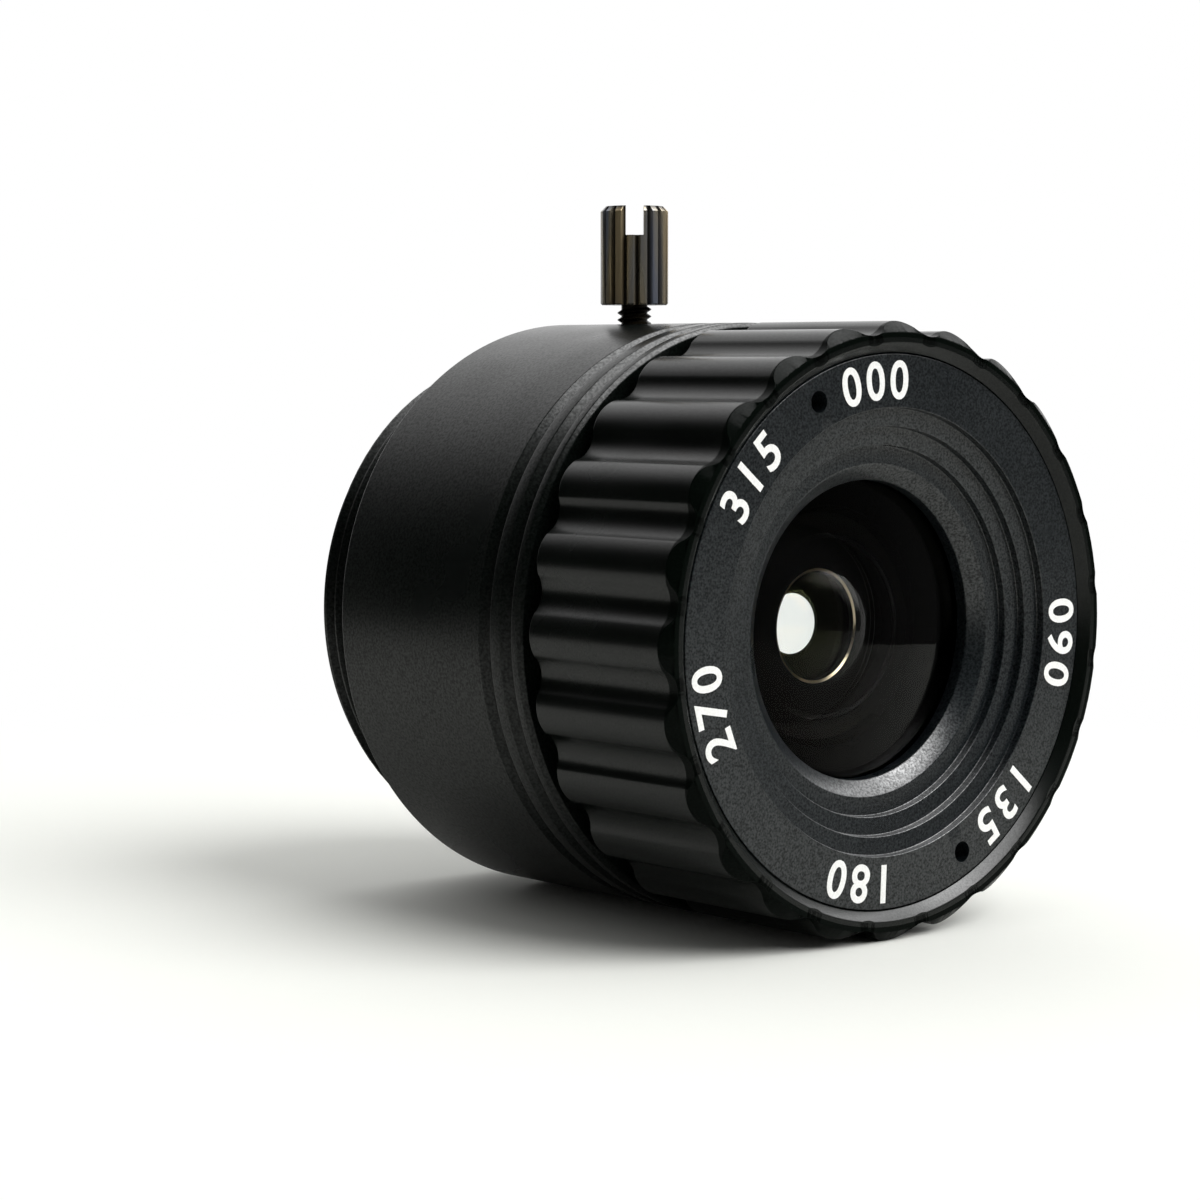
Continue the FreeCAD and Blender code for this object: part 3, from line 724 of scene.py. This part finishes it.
def lens(name, nodes, front, rear):
    """A round lens where its CAD nodes are, with a ball face on each end given as (opening, bulge)."""
    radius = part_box(nodes[0])[1].x / MM
    front_rim_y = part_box(nodes[0])[0].y / MM + max(front[1], 0)
    rear_rim_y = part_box(nodes[-1])[1].y / MM - max(rear[1], 0)
    points = dome(*front, front_rim_y, -1)[::-1]
    if front[0] < radius:
        points.append((radius, front_rim_y))
    points.append((radius, rear_rim_y))
    points += dome(*rear, rear_rim_y, 1)
    piece = turned(name, points, edge_break=0, closed=False)
    shade(piece)
    return piece


def coated(name, reflection):
    """Optical glass: clear, with the coating's own faint colour in its reflections."""
    material, tree, shader, place = new_material(name)
    shader.inputs["Base Color"].default_value = (*GLASS_TINT, 1)
    shader.inputs["Transmission Weight"].default_value = 1
    shader.inputs["Roughness"].default_value = 0
    shader.inputs["IOR"].default_value = GLASS_INDEX
    drift = noise_node(tree, place, COATING_SCALE)
    tint = ramp_node(tree, drift, list(zip(DRIFT_SPAN, varied(reflection, COATING_DRIFT))))
    tree.links.new(tint, shader.inputs["Specular Tint"])
    return material


front_glass = lens("front_glass", ("front_element",), (GLASS_RADIUS, FRONT_BULGE),
                   (FRONT_HOLLOW_RADIUS, -FRONT_HOLLOW))
dress(front_glass, coated("front_coating", (0.014, 0.012, 0.003)), "focus_group", "coated_glass",
      "front_element")
for name, nodes, front, rear, reflection in INNER_GLASS:
    glass = lens(name, nodes, (INNER_OPENING, front), (INNER_OPENING, rear))
    dress(glass, coated(name + "_coating", reflection), "focus_group", "coated_glass", *nodes)

# The aperture stop: a thin turned disc, blackened and held between two lenses' rims by the spacers, whose
# bevelled hole sets how much light the lens takes in.
STOP_RADIUS = 2.15
STOP_BEVEL = 0.12
STOP_EDGE_BREAK = 0.01
stop_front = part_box("aperture_stop")[0].y / MM
stop_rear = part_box("aperture_stop")[1].y / MM
stop_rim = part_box("aperture_stop")[1].x / MM
section = [(STOP_RADIUS + STOP_BEVEL, stop_front), (stop_rim, stop_front), (stop_rim, stop_rear)]
section.append((STOP_RADIUS, stop_rear))
section.append((STOP_RADIUS, stop_front + STOP_BEVEL))
stop = turned("stop_disc", section, STOP_EDGE_BREAK)
dress(stop, cell_black, "focus_group", "cell_black", "aperture_stop")
shade(stop)

# The rear retainer: a threaded ring that clamps the glass from behind, flared towards the camera body and
# slotted across for the spanner that turns it.
RETAINER_BORE_RADIUS = 5.0
RETAINER_FLARE = 0.6
RETAINER_SLOT_WIDTH = 1.0
RETAINER_SLOT_DEPTH = 0.7
RETAINER_EDGE_BREAK = 0.04
retainer_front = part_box("rear_retainer")[0].y / MM
retainer_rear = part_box("rear_retainer")[1].y / MM
retainer_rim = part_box("rear_retainer")[1].x / MM
section = [(RETAINER_BORE_RADIUS, retainer_front), (retainer_rim, retainer_front)]
section.append((retainer_rim, retainer_rear))
section.append((RETAINER_BORE_RADIUS + RETAINER_FLARE, retainer_rear))
retainer = turned("slotted_retainer", section, RETAINER_EDGE_BREAK)
bpy.ops.mesh.primitive_cube_add(size=1, location=(0, retainer_rear * MM, 0))
mill = bpy.context.object
mill.scale = Vector((3 * retainer_rim, 2 * RETAINER_SLOT_DEPTH, RETAINER_SLOT_WIDTH)) * MM
cut(retainer, mill)
dress(retainer, cell_black, "focus_group", "cell_black", "rear_retainer")
shade(retainer)

# The lock screw: a brass thumb screw plated in black nickel, with sixteen straight ridges round its head, a
# slot for a screwdriver across its top, and a fine thread that goes through the barrel's wall.
SCREW_HEAD_RADIUS = 1.7
SCREW_HEAD_FOOT_Z = 15.35
SCREW_HEAD_TOP_Z = 20.28
SCREW_TOP_CHAMFER = 0.26
SCREW_FOOT_CHAMFER = 0.08
KNURL_COUNT = 16
KNURL_DEPTH = 0.22
KNURL_START = -2.4
KNURL_CREST = 4.8
KNURL_FLANK_END = 10.2
STEPS_PER_KNURL = 24
SLOT_WIDTH = 0.9
SLOT_DEPTH = 1.47
SLOT_ANGLE = 49.6
SCREW_THREAD_RADIUS = 0.85
SCREW_THREAD_PITCH = 0.35
SCREW_THREAD_DEPTH = 0.19
SCREW_THREAD_STEPS = 48
SCREW_FOOT_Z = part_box("lock_screw")[0].z / MM
NICKEL_METALLIC = 0.6
NICKEL_ROUGHNESS = (0.2, 0.32)
# The head's colour is scaled from painted shade down in its valleys up to its lighter, worn crests.
VALLEY_PAINTED_SHADE = 0.12
CREST_TONE = 1.7
STREAK_SCALE = 900
STREAK_SQUEEZE = 0.12
STREAKS = (
    (0.42, (0.22, 0.175, 0.105)),
    (0.54, (0.16, 0.145, 0.115)),
    (0.66, (0.10, 0.11, 0.14)),
)


def knurl_radius(angle):
    """How far out the head's surface is at an angle about the screw's axis."""
    pitch = 360 / KNURL_COUNT
    from_crest = abs((math.degrees(angle) - KNURL_START + pitch / 2) % pitch - pitch / 2)
    share = min(max((from_crest - KNURL_CREST) / (KNURL_FLANK_END - KNURL_CREST), 0), 1)
    return SCREW_HEAD_RADIUS - KNURL_DEPTH * share * share * (3 - 2 * share)


def scaled_node(tree, place, scale, shift=(0, 0, 0)):
    """A Mapping node that scales and shifts a place socket; gives the new place's socket."""
    node = add_node(tree, "ShaderNodeMapping")
    node.inputs["Scale"].default_value = scale
    node.inputs["Location"].default_value = shift
    tree.links.new(place, node.inputs["Vector"])
    return node.outputs[0]


def plated(name):
    """Black nickel on brass: brown to blue streaks, lighter on the worn crests, painted shade in the
    valleys.
    """
    material, tree, shader, place = new_material(name)
    shader.inputs["Metallic"].default_value = NICKEL_METALLIC
    streaks = noise_node(tree, scaled_node(tree, place, (1, 1, STREAK_SQUEEZE)), STREAK_SCALE)
    out = length_node(tree, scaled_node(tree, place, (1, 1, 0), (0, -SCREW_Y * MM, 0)))
    head = ((SCREW_HEAD_RADIUS - KNURL_DEPTH) * MM, SCREW_HEAD_RADIUS * MM)
    # Painted shade: the colour darkens from the worn crests down into the valleys between the ridges.
    worn_and_shaded = add_node(tree, "ShaderNodeVectorMath", operation="SCALE")
    tree.links.new(ramp_node(tree, streaks, STREAKS), worn_and_shaded.inputs[0])
    tree.links.new(range_node(tree, out, head, (VALLEY_PAINTED_SHADE, CREST_TONE)), worn_and_shaded.inputs["Scale"])
    tree.links.new(worn_and_shaded.outputs[0], shader.inputs["Base Color"])
    tree.links.new(range_node(tree, streaks, DRIFT_SPAN, NICKEL_ROUGHNESS), shader.inputs["Roughness"])
    return material


root = SCREW_THREAD_RADIUS - SCREW_THREAD_DEPTH
section = [(0, SCREW_HEAD_TOP_Z), (SCREW_HEAD_RADIUS - SCREW_TOP_CHAMFER, SCREW_HEAD_TOP_Z)]
section.append((SCREW_HEAD_RADIUS, SCREW_HEAD_TOP_Z - SCREW_TOP_CHAMFER))
section.append((SCREW_HEAD_RADIUS, SCREW_HEAD_FOOT_Z + SCREW_FOOT_CHAMFER))
section.append((SCREW_HEAD_RADIUS - SCREW_FOOT_CHAMFER, SCREW_HEAD_FOOT_Z))
section.append((root, SCREW_HEAD_FOOT_Z))
section.append((root, SCREW_FOOT_Z))
section.append((0, SCREW_FOOT_Z))
screw = turned("thumb_screw", section, 0, closed=False, steps=KNURL_COUNT * STEPS_PER_KNURL)
screw.data.transform(Matrix.Rotation(math.radians(90), 4, "X"))
for vertex in screw.data.vertices:
    out = math.hypot(vertex.co.x, vertex.co.y)
    if out > (SCREW_HEAD_RADIUS - KNURL_DEPTH) * MM:
        surface = knurl_radius(math.atan2(vertex.co.y, vertex.co.x)) * MM
        inward = min(1, surface / out)
        vertex.co.x *= inward
        vertex.co.y *= inward
bpy.ops.mesh.primitive_cube_add(size=1, location=(0, 0, SCREW_HEAD_TOP_Z * MM),
                                rotation=(0, 0, math.radians(SLOT_ANGLE)))
mill = bpy.context.object
mill.scale = Vector((4 * SCREW_HEAD_RADIUS, SLOT_WIDTH, 2 * SLOT_DEPTH)) * MM
cut(screw, mill)
turns = int((SCREW_HEAD_FOOT_Z - SCREW_FOOT_Z) / SCREW_THREAD_PITCH) - 1
ridge_start = SCREW_HEAD_FOOT_Z - (turns + 0.5) * SCREW_THREAD_PITCH
ridge = helical_ridge("screw_ridge", root, SCREW_THREAD_DEPTH, SCREW_THREAD_PITCH, turns, ridge_start,
                      SCREW_THREAD_STEPS)
select_only(screw)
ridge.select_set(True)
bpy.ops.object.join()
screw.data.transform(Matrix.Translation(Vector((0, SCREW_Y, 0)) * MM))
dress(screw, plated("black_nickel"), "lock_screw", "black_nickel", "lock_screw")
shade(screw)

# What stays as the solids have it, out of sight inside: the rubber washer behind the name ring, the drag
# ring, the spacers between the lenses, turned and blackened, and the screw's turned nylon pad.
rubber_black = grained("rubber_black", (0.012, 0.012, 0.012), roughness=0.55, grain=6000,
                       grain_depth=0.004, speckle=0.1, sheen=0.4)
pad_nylon = grained("pad_nylon", (0.7, 0.67, 0.6), roughness=0.5, grain=4000, grain_depth=0.004,
                    speckle=0.05)
FINISHES = {"cell_black": cell_black, "rubber_black": rubber_black, "pad_nylon": pad_nylon}
for part in frame["record"]["subparts"]:
    if part["material_slot"] in FINISHES:
        node = frame["nodes"][part["node"]]
        node.data.materials.clear()
        node.data.materials.append(FINISHES[part["material_slot"]])
